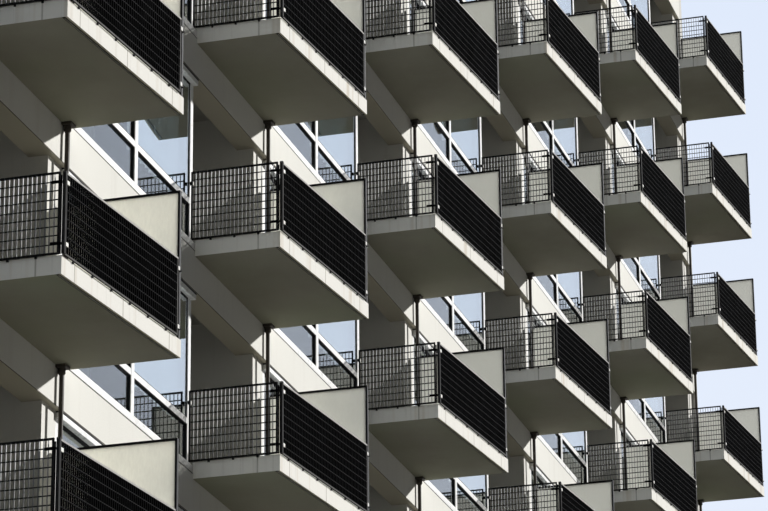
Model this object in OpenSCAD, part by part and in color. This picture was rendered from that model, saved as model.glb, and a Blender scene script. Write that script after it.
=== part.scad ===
// A slab apartment block with a stack of wedge-shaped balconies on every bay.
// The real block is over 40 m long, so this is its 1:2 scale model: every length
// below is half of the real one, which the comments give in metres.
// X runs along the facade, Y from the balconies towards the rear, Z up.

/* [Block] */
// Number of bays along the facade
bays = 6; // [2:1:8]
// Number of storeys, the ground floor counted
storeys = 12; // [2:1:14]
// Length of one bay, 7.0 m on the real block
bay_pitch = 3500; // [3300:10:4000]
// Height of one storey, 2.8 m
storey_h = 1400; // [1300:10:1700]
// Depth of the block from the facade to the rear face, 11 m
block_depth = 5500; // [3500:50:7000]
// Height of the ground floor above the ground, 0.15 m
plinth_h = 75; // [40:5:300]
// Thickness of the two end walls, 0.25 m
end_wall_t = 125; // [80:5:250]

/* [Floors and facade] */
// Thickness of a floor slab, 0.18 m
floor_t = 90; // [60:5:140]
// Thickness of the edge beams and of the rear wall, 0.3 m
beam_t = 150; // [110:5:250]
// How far the top of an edge beam lies below its floor, 0.14 m
beam_drop = 70; // [30:5:100]
// How far the underside of an edge beam lies below its floor, 0.65 m
beam_low = 325; // [200:5:450]
// Width of the pier at the far end of each bay, 0.4 m
pier_w = 200; // [120:5:400]
// Length of the window wall of one bay, 4.28 m
window_wall_l = 2140; // [1200:10:2200]
// How far the window frames stand behind the beams, 0.07 m
window_setback = 35; // [10:5:60]
// Depth of a window frame, 0.08 m
window_frame_d = 40; // [20:5:45]
// Thickness of the panes, 10 mm
glass_t = 5; // [3:1:12]

/* [Loggias] */
// Depth of the recess behind a balcony, 1.2 m
loggia_d = 600; // [300:10:1200]
// Thickness of the light walls round the recess, 0.12 m
loggia_wall_t = 60; // [30:5:100]
// Width of the balcony door, 0.9 m
balcony_door_w = 450; // [350:10:550]
// Height of the balcony door and its window above the floor, 2.1 m
balcony_door_h = 1050; // [900:10:1150]
// Height of the sill of the window beside the door, 0.9 m
balcony_sill_h = 450; // [200:10:700]
// Width of the wall left between the pier and the door and beyond the window, 0.1 m
balcony_door_inset = 50; // [20:5:100]

/* [Balconies] */
// How far a balcony slab starts before the end of the window wall, 90 mm
slab_near_lap = 45; // [0:5:100]
// How far its near end stands out, 1.08 m
slab_near_d = 540; // [350:5:800]
// How far its far end stands out, 1.34 m
slab_far_d = 670; // [400:5:900]
// Thickness of a balcony slab, 0.2 m
slab_t = 100; // [60:5:160]
// Distance of the drip groove from the outer edge, 36 mm
groove_inset = 18; // [12:1:60]
// Width of the drip groove, 16 mm
groove_w = 8; // [4:1:15]
// Depth of the drip groove, 10 mm
groove_d = 5; // [2:1:10]

/* [Railings] */
// Height of the railings above their slab, 0.89 m
rail_h = 445; // [350:5:550]
// Height of the section of the rails and end bars, 20 mm
rail_w = 10; // [6:1:20]
// Depth of that section, 20 mm
rail_d = 10; // [8:1:20]
// Gap between the slab's edge and the railings that hang outside it, 6 mm
rail_gap = 3; // [3:1:15]
// Height of the bottom rails above the slab, 6 mm
rail_foot_gap = 3; // [2:1:40]
// Gap between the near railing and the window frames behind its end, 20 mm
rail_window_gap = 10; // [4:1:60]
// Gap between the near railing and the slab's corner, where the clamps go round it, 24 mm
rail_corner_gap = 12; // [10:1:40]
// Width of the square post at the near end of the front railing, 36 mm
corner_post_w = 18; // [12:1:30]
// Number of rods between two rails
rods = 8; // [4:1:12]
// Diameter of a rod, 14 mm
rod_dia = 7; // [3:0.5:8]
// Distance of the rods from a railing's outer side, 2 mm
rod_inset = 1; // [0.5:0.5:4]
// Width of the feet that hold a railing to the slab's edge, 24 mm
foot_w = 12; // [8:1:30]
// How far the feet reach down the slab's edge, 14 mm
foot_drop = 7; // [6:1:50]
// Distance of the first foot from a railing's end, 0.25 m
foot_inset = 125; // [40:5:200]
// Longest distance between two feet, 0.48 m
foot_pitch = 240; // [150:10:600]
// Height of a clamp between two railings or at the screen, 24 mm
clamp_h = 12; // [8:1:30]
// Thickness of a clamp, 14 mm
clamp_t = 7; // [4:1:10]
// Distance of the clamps from the rails, 80 mm
clamp_inset = 40; // [20:5:100]
// Gap between a clamp and the near railing's end bar, 0.6 mm
clamp_seat_gap = 0.3; // [0.2:0.1:1]

/* [Screens] */
// Height of the screen at the far end of a balcony, 1.7 m
screen_h = 850; // [500:10:950]
// Width of the screen frame's section, 24 mm
screen_frame_w = 12; // [8:1:30]
// Thickness of the screen frame, 50 mm
screen_frame_t = 25; // [12:1:40]
// Thickness of the screen's board, 16 mm
screen_panel_t = 8; // [4:1:10]
// Distance of the screen's outer post from the slab's corner, 10 mm
screen_inset = 5; // [4:1:20]
// Gap between the screen and the facade, 20 mm
screen_end_gap = 10; // [4:1:30]
// Gap between the screen's post and the end of the front railing, 90 mm
screen_rail_gap = 45; // [2:1:60]

/* [Downpipes] */
// Outside diameter of the downpipe, 52 mm
pipe_dia = 26; // [16:1:34]
// Outside diameter of the sleeve under each slab, 84 mm
sleeve_dia = 42; // [36:1:60]
// Height of the sleeve below its plate, 80 mm
sleeve_h = 40; // [20:1:80]
// Height of the sleeve's tapered foot, 24 mm
sleeve_taper_h = 12; // [5:1:40]
// Gap between the sleeve and the facade, 6 mm
sleeve_wall_gap = 3; // [2:1:20]
// Width of the square plate over the sleeve, 0.14 m
pipe_plate_w = 70; // [62:1:90]
// Thickness of that plate, 30 mm
pipe_plate_t = 15; // [6:1:30]
// Distance of the pipe's middle from the end of the bay, 0.15 m
pipe_from_end = 75; // [50:1:120]

/* [Rear wall] */
// Height of the window sills above the floor, 0.85 m
rear_sill_h = 425; // [250:5:600]
// Distance of the first rear window from the start of its bay, 0.5 m
rear_window_inset = 250; // [100:10:500]
// Width of the wide rear window, 3.2 m
rear_wide_w = 1600; // [900:10:1700]
// Width of the narrow rear window, 1.6 m
rear_narrow_w = 800; // [400:10:900]
// Width of an entrance door, 1.1 m
entrance_w = 550; // [450:10:600]
// Thickness of an entrance door, 60 mm
entrance_t = 30; // [20:1:50]
// How far an entrance door stands behind the rear face, 0.16 m
entrance_setback = 80; // [20:5:100]
// Bays from one entrance to the next
entrance_every = 2; // [1:1:3]

/* [Roof] */
// Height of the parapet, 0.5 m
parapet_h = 250; // [100:10:500]
// Thickness of the parapet, 0.16 m
parapet_t = 80; // [50:5:140]
// Thickness of the coping, 40 mm
coping_t = 20; // [10:1:40]
// How far the coping stands over on the inner side, 40 mm
coping_lap = 20; // [5:1:40]

/* [Hidden] */
// Length of the block between its end walls
inner_l = bays * bay_pitch;
// Plan of a balcony: near end at the facade, near and far outer corners, far end at the facade
slab_x0 = window_wall_l - slab_near_lap;
slab_a = [slab_x0, 0];
slab_b = [slab_x0, -slab_near_d];
slab_c = [bay_pitch, -slab_far_d];
slab_d = [bay_pitch, 0];
front_edge_l = norm(slab_c - slab_b);
front_edge_angle = atan2(slab_c[1] - slab_b[1], slab_c[0] - slab_b[0]);
// Heights from a floor: top of the openings and underside of the floor above
head_h = storey_h - beam_low;
ceiling_h = storey_h - floor_t;
roof_z = storeys * storey_h;
pier_x0 = bay_pitch - pier_w;
rear_inner_y = block_depth - beam_t;
glass_y = window_setback + (window_frame_d - glass_t) / 2;
window_back_y = window_setback + window_frame_d;
pipe_x = bay_pitch - pipe_from_end;
pipe_y = -(sleeve_wall_gap + sleeve_dia / 2);
narrow_x0 = bay_pitch - rear_window_inset - rear_narrow_w;
wide_x1 = rear_window_inset + rear_wide_w;
entrance_x0 = narrow_x0 + (rear_narrow_w - entrance_w) / 2;
// The near railing starts before the window frames; the front one starts inside
// the corner post, whose near face is flush with the near railing's outer side.
// Both lengths are measured along the slab's edges
rail_out = rail_gap + rail_d;
near_rail_y0 = window_setback - rail_window_gap;
near_rail_l = slab_near_d + near_rail_y0 - rail_corner_gap;
front_rail_x0 = corner_post_w / 2 - rail_out;
front_rail_l = front_edge_l - screen_frame_t - screen_rail_gap - front_rail_x0;
screen_l = slab_far_d - screen_inset - screen_end_gap;
// Heights of the undersides of the clamps above the slab
clamp_places = [rail_foot_gap + rail_w + clamp_inset, rail_h - rail_w - clamp_inset - clamp_h];
// The outermost piece is the far end of the front railing or its clamp at the screen
rail_end_y = slab_b[1] + (front_rail_x0 + front_rail_l) * sin(front_edge_angle) - rail_out * cos(front_edge_angle);
screen_clamp_y = -(slab_far_d - screen_inset + rail_gap + clamp_t);
front_y = min(rail_end_y, screen_clamp_y);
middle_y = (block_depth + front_y) / 2;
$fn = 48;

// A box from its lowest to its highest corner
module block(low, high) {
    translate(low) cube(high - low);
}

// Moves a piece from the facade's own frame to the block's frame,
// whose origin is at the middle of its footprint, on the ground
module placed() {
    translate([-inner_l / 2, -middle_y, plinth_h]) children();
}

// One copy in each bay and on each of the given levels
module each_bay_and_level(first_level, last_level) {
    for (bay = [0 : bays - 1], level = [first_level : last_level])
        translate([bay * bay_pitch, 0, level * storey_h]) children();
}

// One copy in each bay
module each_bay() {
    for (bay = [0 : bays - 1])
        translate([bay * bay_pitch, 0, 0]) children();
}

module ground_slab() {
    color("#8f8c85") placed()
        block([-end_wall_t, 0, -plinth_h], [inner_l + end_wall_t, block_depth, 0]);
}

// The floor between the walls, with its noses over the edge beams:
// narrow ones behind the window frames, full ones in the loggias
module floor_plate() {
    difference() {
        union() {
            block([0, beam_t, -floor_t], [inner_l, rear_inner_y, 0]);
            each_bay() {
                block([0, window_back_y, -beam_drop], [window_wall_l - loggia_wall_t, beam_t + 1, 0]);
                block([window_wall_l, 0, -beam_drop], [pier_x0, beam_t + 1, 0]);
            }
        }
        each_bay()
            block([pier_x0, -1, -floor_t - 1], [bay_pitch, loggia_d, 1]);
    }
}

module floor_slab(level) {
    color("#a5a29a") placed() translate([0, 0, level * storey_h]) floor_plate();
}

// The roof slab covers the edge beams on both sides
module roof_slab() {
    color("#8f8c85") placed() translate([0, 0, roof_z])
        difference() {
            union() {
                block([0, beam_t, -floor_t], [inner_l, rear_inner_y, 0]);
                block([0, 0, -beam_drop], [inner_l, block_depth, 0]);
            }
            each_bay()
                block([pier_x0, -1, -floor_t - 1], [bay_pitch, loggia_d, 1]);
        }
}

// A ring on the outline of the block, of the given width and height
module outline_ring(width, height, lap) {
    linear_extrude(height)
        difference() {
            translate([-end_wall_t, 0]) square([inner_l + 2 * end_wall_t, block_depth]);
            translate([-end_wall_t + width + lap, width + lap])
                square([inner_l + 2 * (end_wall_t - width - lap), block_depth - 2 * (width + lap)]);
        }
}

module roof_parapet() {
    color("#d9d6cf") placed() translate([0, 0, roof_z]) outline_ring(parapet_t, parapet_h, 0);
}

module parapet_coping() {
    color("#9a9c9d") placed() translate([0, 0, roof_z + parapet_h])
        outline_ring(parapet_t, coping_t, coping_lap);
}

module end_wall_near() {
    color("#d9d6cf") placed() block([-end_wall_t, 0, 0], [0, block_depth, roof_z]);
}

module end_wall_far() {
    color("#d9d6cf") placed() block([inner_l, 0, 0], [inner_l + end_wall_t, block_depth, roof_z]);
}

// Full-height piers, which also close the far side of each loggia
module facade_piers() {
    color("#e4e1d8") placed() each_bay()
        block([pier_x0, 0, 0], [bay_pitch, loggia_d, roof_z]);
}

// Edge beams between the piers, one under each floor and one under the roof
module facade_beams() {
    color("#e4e1d8") placed() each_bay_and_level(1, storeys)
        block([0, 0, -beam_low], [pier_x0, beam_t, -beam_drop]);
}

// One sheet of glass closes each window wall between two beams
module window_glass_front() {
    color("#8fa3b0", 0.5) placed() {
        each_bay()
            block([0, glass_y, 0], [window_wall_l, glass_y + glass_t, head_h]);
        each_bay_and_level(1, storeys - 1)
            block([0, glass_y, -beam_drop], [window_wall_l, glass_y + glass_t, head_h]);
    }
}

// The wall between the window wall and the loggia steps under the edge beam
module loggia_side_wall(low) {
    translate([window_wall_l - loggia_wall_t, 0, 0])
        rotate([90, 0, 90]) linear_extrude(loggia_wall_t)
            polygon([
                [window_back_y, low], [beam_t, low], [beam_t, 0],
                [loggia_d + loggia_wall_t, 0], [loggia_d + loggia_wall_t, ceiling_h],
                [beam_t, ceiling_h], [beam_t, head_h], [window_back_y, head_h]
            ]);
}

module loggia_side_walls() {
    color("#bdb9ae") placed() {
        each_bay() loggia_side_wall(0);
        each_bay_and_level(1, storeys - 1) loggia_side_wall(-beam_drop);
    }
}

// The balcony door with its window beside it, as one opening in the back wall
module balcony_door_opening(from_y, to_y) {
    door_x1 = pier_x0 - balcony_door_inset;
    door_x0 = door_x1 - balcony_door_w;
    window_x0 = window_wall_l + balcony_door_inset;
    block([door_x0, from_y, 0], [door_x1, to_y, balcony_door_h]);
    block([window_x0, from_y, balcony_sill_h], [door_x0 + 1, to_y, balcony_door_h]);
}

module loggia_back_walls() {
    color("#bdb9ae") placed() each_bay_and_level(0, storeys - 1)
        difference() {
            block([window_wall_l, loggia_d, 0], [bay_pitch, loggia_d + loggia_wall_t, ceiling_h]);
            balcony_door_opening(loggia_d - 1, loggia_d + loggia_wall_t + 1);
        }
}

// Glass in the middle of the back wall's thickness
module loggia_glass() {
    mid_y = loggia_d + (loggia_wall_t - glass_t) / 2;
    color("#8fa3b0", 0.5) placed() each_bay_and_level(0, storeys - 1)
        balcony_door_opening(mid_y, mid_y + glass_t);
}

// A wedge-shaped slab with a drip groove along its outer edge
module balcony_slab() {
    difference() {
        translate([0, 0, -slab_t]) linear_extrude(slab_t) polygon([slab_a, slab_b, slab_c, slab_d]);
        translate([slab_b[0], slab_b[1], -slab_t]) rotate(front_edge_angle)
            block([groove_inset, groove_inset, -1],
                  [front_edge_l - groove_inset, groove_inset + groove_w, groove_d]);
    }
}

module balcony_slabs(bay) {
    color("#dcd8cc") placed() translate([(bay - 1) * bay_pitch, 0, 0])
        for (level = [1 : storeys - 1])
            translate([0, 0, level * storey_h]) balcony_slab();
}

// A straight railing along local X, hung outside the edge at y = 0: two rails and
// two end bars with rods between them, on feet that reach back to the slab's edge
module railing_frame(length) {
    rod_pitch = (rail_h - rail_w - rail_foot_gap) / (rods + 1);
    foot_spans = ceil((length - 2 * foot_inset) / foot_pitch);
    foot_step = (length - 2 * foot_inset) / foot_spans;
    difference() {
        block([0, -rail_out, rail_foot_gap], [length, -rail_gap, rail_h]);
        block([rail_w, -rail_out - 1, rail_foot_gap + rail_w], [length - rail_w, -rail_gap + 1, rail_h - rail_w]);
    }
    for (i = [1 : rods])
        translate([rail_w / 2, -rail_out + rod_inset + rod_dia / 2, rail_foot_gap + rail_w / 2 + i * rod_pitch])
            rotate([0, 90, 0]) cylinder(d = rod_dia, h = length - rail_w);
    for (i = [0 : foot_spans])
        translate([foot_inset + i * foot_step - foot_w / 2, 0, 0])
            block([0, -rail_gap - rail_d / 2, -foot_drop], [foot_w, 0, rail_foot_gap + rail_w / 2]);
}

// The near end's railing runs from the window frames to the corner
module near_railing() {
    translate([slab_a[0], near_rail_y0, 0]) rotate(-90) railing_frame(near_rail_l);
}

// The front railing runs from its corner post to the screen. Its clamps reach back to
// the end bar of the near railing, and over the outer face of the screen's post
module front_railing() {
    near_end_y = -(slab_near_d - rail_corner_gap) - clamp_seat_gap;
    post_y = -(slab_far_d - screen_inset);
    post_x = bay_pitch - screen_frame_t;
    translate([slab_b[0], slab_b[1], 0]) rotate(front_edge_angle) {
        block([-rail_out, -rail_gap - corner_post_w, rail_foot_gap],
              [corner_post_w - rail_out, -rail_gap, rail_h]);
        translate([front_rail_x0, 0, 0]) railing_frame(front_rail_l);
    }
    for (z = clamp_places) {
        block([slab_x0 - rail_out + 1, -slab_near_d - rail_gap - rail_d / 2, z],
              [slab_x0 - rail_out + 1 + clamp_t, near_end_y, z + clamp_h]);
        block([post_x - screen_rail_gap - rail_w, post_y - rail_gap - clamp_t, z],
              [post_x + screen_frame_t / 2, post_y, z + clamp_h]);
    }
}

module railings(bay) {
    color("#2a2a2c") placed() translate([(bay - 1) * bay_pitch, 0, 0])
        for (level = [1 : storeys - 1])
            translate([0, 0, level * storey_h]) {
                near_railing();
                front_railing();
            }
}

// Frame of the screen: a post at each end and a rail at the top and bottom
module screen_frame() {
    translate([bay_pitch - screen_frame_t, -screen_end_gap - screen_l, 0])
        difference() {
            cube([screen_frame_t, screen_l, screen_h]);
            translate([-1, screen_frame_w, screen_frame_w])
                cube([screen_frame_t + 2, screen_l - 2 * screen_frame_w, screen_h - 2 * screen_frame_w]);
        }
}

module screen_panel() {
    translate([bay_pitch - (screen_frame_t + screen_panel_t) / 2,
               screen_frame_w - screen_end_gap - screen_l, screen_frame_w])
        cube([screen_panel_t, screen_l - 2 * screen_frame_w, screen_h - 2 * screen_frame_w]);
}

module screen_frames() {
    color("#2a2a2c") placed() each_bay_and_level(1, storeys - 1) screen_frame();
}

module screen_panels() {
    color("#aaa89e") placed() each_bay_and_level(1, storeys - 1) screen_panel();
}

// One storey of downpipe from a slab or the ground up to the sleeve and the plate
// under the next slab; the plate ends at the facade
module downpipe_length() {
    top = storey_h - slab_t;
    sleeve_z = top - pipe_plate_t - sleeve_h;
    translate([pipe_x, pipe_y, 0]) {
        rotate_extrude()
            polygon([
                [0, 0], [pipe_dia / 2, 0], [pipe_dia / 2, sleeve_z],
                [sleeve_dia / 2, sleeve_z + sleeve_taper_h], [sleeve_dia / 2, top - pipe_plate_t / 2],
                [0, top - pipe_plate_t / 2]
            ]);
        block([-pipe_plate_w / 2, -pipe_plate_w / 2, top - pipe_plate_t], [pipe_plate_w / 2, -pipe_y, top]);
    }
}

module downpipes() {
    color("#4b463f") placed() each_bay_and_level(0, storeys - 2) downpipe_length();
}

function has_entrance(bay) = bay % entrance_every == 0;

// Rear wall below the windows and above the ones of the storey below, in one band;
// on the ground floor it is broken at the entrances
module rear_spandrels() {
    starts = [0, for (bay = [0 : bays - 1]) if (has_entrance(bay)) bay * bay_pitch + entrance_x0 + entrance_w];
    ends = [for (bay = [0 : bays - 1]) if (has_entrance(bay)) bay * bay_pitch + entrance_x0, inner_l];
    color("#d9d6cf") placed() {
        for (i = [0 : len(starts) - 1])
            block([starts[i], rear_inner_y, 0], [ends[i], block_depth, rear_sill_h]);
        for (level = [1 : storeys - 1])
            block([0, rear_inner_y, level * storey_h - beam_low],
                  [inner_l, block_depth, level * storey_h + rear_sill_h]);
        block([0, rear_inner_y, roof_z - beam_low], [inner_l, block_depth, roof_z - beam_drop]);
    }
}

module rear_pier(x0, x1, level) {
    block([x0, rear_inner_y, level * storey_h + rear_sill_h],
          [x1, block_depth, (level + 1) * storey_h - beam_low]);
}

module rear_piers() {
    color("#d9d6cf") placed()
        for (level = [0 : storeys - 1]) {
            rear_pier(0, rear_window_inset, level);
            for (bay = [0 : bays - 1]) {
                x = bay * bay_pitch;
                door = level == 0 && has_entrance(bay);
                right = bay == bays - 1 ? 0 : rear_window_inset;
                rear_pier(x + wide_x1, x + (door ? entrance_x0 : narrow_x0), level);
                rear_pier(x + (door ? entrance_x0 + entrance_w : narrow_x0 + rear_narrow_w),
                          x + bay_pitch + right, level);
            }
        }
}

// One sheet of glass a storey closes the rear windows from inside
module rear_glass() {
    color("#8fa3b0", 0.5) placed() {
        for (bay = [0 : bays - 1]) {
            x = bay * bay_pitch;
            block([x + rear_window_inset / 2, rear_inner_y - glass_t, rear_sill_h],
                  [x + (has_entrance(bay) ? (wide_x1 + entrance_x0) / 2 : bay_pitch - rear_window_inset / 2),
                   rear_inner_y, head_h]);
        }
        for (level = [1 : storeys - 1])
            block([rear_window_inset / 2, rear_inner_y - glass_t, level * storey_h + rear_sill_h],
                  [inner_l - rear_window_inset / 2, rear_inner_y, level * storey_h + head_h]);
    }
}

module entrance_doors() {
    y1 = block_depth - entrance_setback;
    color("#5d6468") placed()
        for (bay = [0 : bays - 1]) if (has_entrance(bay))
            block([bay * bay_pitch + entrance_x0, y1 - entrance_t, 0],
                  [bay * bay_pitch + entrance_x0 + entrance_w, y1, head_h]);
}

ground_slab();
floor_slab(1);  // floor_slab_level_1
floor_slab(2);  // floor_slab_level_2
floor_slab(3);  // floor_slab_level_3
floor_slab(4);  // floor_slab_level_4
floor_slab(5);  // floor_slab_level_5
floor_slab(6);  // floor_slab_level_6
floor_slab(7);  // floor_slab_level_7
floor_slab(8);  // floor_slab_level_8
floor_slab(9);  // floor_slab_level_9
floor_slab(10);  // floor_slab_level_10
floor_slab(11);  // floor_slab_level_11
roof_slab();
roof_parapet();
parapet_coping();
end_wall_near();
end_wall_far();
facade_piers();
facade_beams();
window_glass_front();
loggia_side_walls();
loggia_back_walls();
loggia_glass();
balcony_slabs(1);  // balcony_slabs_bay_1
balcony_slabs(2);  // balcony_slabs_bay_2
balcony_slabs(3);  // balcony_slabs_bay_3
balcony_slabs(4);  // balcony_slabs_bay_4
balcony_slabs(5);  // balcony_slabs_bay_5
balcony_slabs(6);  // balcony_slabs_bay_6
railings(1);  // railings_bay_1
railings(2);  // railings_bay_2
railings(3);  // railings_bay_3
railings(4);  // railings_bay_4
railings(5);  // railings_bay_5
railings(6);  // railings_bay_6
screen_frames();
screen_panels();
downpipes();
rear_spandrels();
rear_piers();
rear_glass();
entrance_doors();
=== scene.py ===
# %% [markdown]
# # A block of flats with wedge-shaped balconies, at half size
# The block is a long slab of twelve storeys. Every bay has a window wall, a recess and a stack
# of balconies that grow deeper towards their far end. The construction comes in ready made, as
# solids in metres, and this lesson dresses it: paint, glass, window frames, the upright bars of
# the railings, curtains, roof covering. Everything that is added is placed from the sizes of
# the solids, so that nothing has to be fitted by eye.

# %% Load the block
import math

import bpy
import numpy as np
from mathutils import Matrix, Vector


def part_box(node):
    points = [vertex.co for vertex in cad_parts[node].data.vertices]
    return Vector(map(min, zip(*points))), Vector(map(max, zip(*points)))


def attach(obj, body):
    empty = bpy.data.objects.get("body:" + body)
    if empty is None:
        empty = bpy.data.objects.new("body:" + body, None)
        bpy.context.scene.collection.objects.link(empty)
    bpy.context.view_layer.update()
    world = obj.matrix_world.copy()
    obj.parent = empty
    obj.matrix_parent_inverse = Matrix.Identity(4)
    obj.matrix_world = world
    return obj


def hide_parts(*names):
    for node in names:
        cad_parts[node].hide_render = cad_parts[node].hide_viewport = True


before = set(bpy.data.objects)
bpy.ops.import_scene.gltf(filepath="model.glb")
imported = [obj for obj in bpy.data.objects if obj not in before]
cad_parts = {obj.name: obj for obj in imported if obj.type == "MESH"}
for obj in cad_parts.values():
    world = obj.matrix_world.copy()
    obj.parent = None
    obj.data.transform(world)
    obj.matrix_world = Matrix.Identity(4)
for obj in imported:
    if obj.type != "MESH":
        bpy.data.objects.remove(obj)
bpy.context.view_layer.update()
print("solids loaded:", len(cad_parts), "named pieces")

# %% [markdown]
# ## Reading the block's own sizes
# A wall, a floor and a balcony tell all that is needed: where the first bay starts, how long
# a bay and how high a storey is, and where the facade stands. Reading them here keeps every
# later piece tied to the solids. The balcony's outline is a wedge, so its two outer corners
# are found among the points of the first bay's slabs: the outermost ones at each end.

# %% Bays, storeys and the facade
near_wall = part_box("end_wall_near")
far_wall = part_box("end_wall_far")
first_x = near_wall[1].x
last_x = far_wall[0].x
facade_y = near_wall[0].y
rear_y = near_wall[1].y
ground_floor_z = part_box("ground_slab")[1].z
roof_z = near_wall[1].z
slab_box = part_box("balcony_slabs_bay_1")
storey_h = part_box("floor_slab_level_2")[1].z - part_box("floor_slab_level_1")[1].z
bay_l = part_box("balcony_slabs_bay_2")[0].x - slab_box[0].x
bays = round((last_x - first_x) / bay_l)
storeys = round((roof_z - ground_floor_z) / storey_h)
print("bays", bays, "storeys", storeys, "bay", round(bay_l, 3), "storey", round(storey_h, 3))

# %% The balcony's outline
NEARLY = 0.001


def outer_corners():
    """The near and far outer corners of a balcony in its bay, seen from above."""
    points = [v.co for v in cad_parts["balcony_slabs_bay_1"].data.vertices]
    near_x = min(p.x for p in points)
    far_x = max(p.x for p in points)
    near_y = min(p.y for p in points if p.x < near_x + NEARLY)
    far_y = min(p.y for p in points if p.x > far_x - NEARLY)
    near = Vector((near_x - first_x, near_y - facade_y, 0))
    far = Vector((far_x - first_x, far_y - facade_y, 0))
    return near, far


corner_near, corner_far = outer_corners()
edge_angle = math.atan2(corner_far.y - corner_near.y, corner_far.x - corner_near.x)
edge_l = (corner_far - corner_near).length
rail_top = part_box("railings_bay_1")[1].z - slab_box[1].z
print("slab corners", corner_near[:2], corner_far[:2], "railing", round(rail_top, 3), "high")

# %% [markdown]
# ## Small tools for shapes
# Window bars, railing bars and seams are all thin boxes, thousands of them. Blender's array
# modifier could repeat them, but the wedge plan and the missing storeys make plain code
# simpler. A shape here is a list of points with a list of faces. Boxes are collected in one
# shape, the shape is copied to every bay and storey, and only then a mesh is made from it.

# %% Boxes and copies
BOX_FACES = ((0, 3, 2, 1), (4, 5, 6, 7), (0, 1, 5, 4), (1, 2, 6, 5), (2, 3, 7, 6), (3, 0, 4, 7))


def boxes(corner_pairs):
    """A shape of boxes, each given by its lowest and its highest corner."""
    points = []
    faces = []
    for (x0, y0, z0), (x1, y1, z1) in corner_pairs:
        start = len(points)
        ring = [(x0, y0), (x1, y0), (x1, y1), (x0, y1)]
        points += [(x, y, z0) for x, y in ring]
        points += [(x, y, z1) for x, y in ring]
        faces += [tuple(start + i for i in face) for face in BOX_FACES]
    return np.array(points, float).reshape(-1, 3), faces


def joined(shapes):
    """Several shapes as one."""
    points = []
    faces = []
    for some_points, some_faces in shapes:
        start = sum(len(p) for p in points)
        points.append(some_points)
        faces += [tuple(start + i for i in face) for face in some_faces]
    return np.concatenate(points), faces


def moved(shape, matrix):
    """The shape, moved by a matrix."""
    turn = np.array(matrix.to_3x3())
    return shape[0] @ turn.T + np.array(matrix.translation), shape[1]


def copies(shape, spots):
    """One copy of the shape at each of the spots."""
    return joined([(shape[0] + np.array(spot), shape[1]) for spot in spots])


print("box tools ready, with", len(BOX_FACES), "faces to a box")


# %% Places and pieces
def place(bay, level):
    """The point where a bay meets the facade at a storey's floor."""
    return first_x + bay * bay_l, facade_y, ground_floor_z + level * storey_h


def places(levels, in_bays=None):
    """That point for every bay and each of the levels."""
    return [place(bay, level) for bay in (in_bays or range(bays)) for level in levels]


def piece(name, shape, material, bevel=0.0, smooth=False):
    """A mesh object of the shape, which belongs to the block."""
    mesh = bpy.data.meshes.new(name)
    mesh.from_pydata([tuple(p) for p in shape[0]], [], shape[1])
    mesh.materials.append(material)
    if smooth:
        mesh.polygons.foreach_set("use_smooth", [True] * len(mesh.polygons))
    made = bpy.data.objects.new(name, mesh)
    bpy.context.scene.collection.objects.link(made)
    if bevel:
        rounding = made.modifiers.new("edges", "BEVEL")
        rounding.width = bevel
        rounding.segments = 1
        rounding.limit_method = "ANGLE"
    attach(made, "root")
    return made


print("first storey's floor meets the facade at", [round(value, 3) for value in place(0, 0)])

# %% [markdown]
# ## The camera
# The picture was taken from far off with a long lens, looking up along the facade, so the
# lines of the balconies hardly converge. The camera stands before the near end of the block,
# below the middle storey, and its heading is measured from the facade. A camera looks along
# its own minus Z, so its axes are built from the heading, the climb and a very small roll.
# Its place is given from the point where the second bay meets the floor of the sixth storey up.

# %% Camera
LENS, SENSOR_W = 167.317, 36
HEADING = math.radians(16.315)
CLIMB = math.radians(20.499)
ROLL = math.radians(-0.556)
CAMERA_BACK, CAMERA_OUT, CAMERA_UP = 16.92, 6.753, -7.6395
VIEW_BAY, VIEW_LEVEL = 1, 6
SEEN_TO = 500

along = Vector((math.cos(HEADING), math.sin(HEADING), 0))
side = Vector((math.sin(HEADING), -math.cos(HEADING), 0))
upward = Vector((0, 0, 1))
forward = along * math.cos(CLIMB) + upward * math.sin(CLIMB)
over = upward * math.cos(CLIMB) - along * math.sin(CLIMB)
right = side * math.cos(ROLL) + over * math.sin(ROLL)
top = over * math.cos(ROLL) - side * math.sin(ROLL)

camera_data = bpy.data.cameras.new("camera")
camera_data.lens = LENS
camera_data.sensor_fit = "HORIZONTAL"
camera_data.sensor_width = SENSOR_W
camera_data.clip_end = SEEN_TO
camera = bpy.data.objects.new("camera", camera_data)
bpy.context.scene.collection.objects.link(camera)
bpy.context.scene.camera = camera
aim = Vector(place(VIEW_BAY, VIEW_LEVEL))
spot = aim + Vector((-CAMERA_BACK, -CAMERA_OUT, CAMERA_UP))
camera.matrix_world = Matrix.Translation(spot) @ Matrix((right, top, -forward)).transposed().to_4x4()
print("camera at", [round(value, 3) for value in camera.location])

# %% [markdown]
# ## Light
# The facade is raked by a low sun from the far right, which draws the balconies' shadows on
# the white walls. A sun lamp a degree or two wide gives such crisp but not razor-sharp edges.
# A second, weaker and much wider sun lights the rear for views from there and never reaches
# the front.

# %% Sun lamps
SUN_PLAN = Vector((0.693, -0.721))
SUN_HEIGHT = math.radians(23.5)
SUN_STRENGTH, SUN_WIDTH = 4.8, 1.5
SUN_COLOUR = (1.0, 0.985, 0.95)
REAR_DIRECTION = Vector((0.2, 0.9, 0.5))
REAR_STRENGTH, REAR_WIDTH = 2.6, 20


def sun_lamp(name, towards, strength, width):
    """A lamp as far as the sun, in the direction towards it, width degrees across."""
    data = bpy.data.lights.new(name, "SUN")
    data.energy = strength
    data.angle = math.radians(width)
    lamp = bpy.data.objects.new(name, data)
    lamp.rotation_mode = "QUATERNION"
    lamp.rotation_quaternion = towards.to_track_quat("Z", "Y")
    bpy.context.scene.collection.objects.link(lamp)
    return lamp


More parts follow.
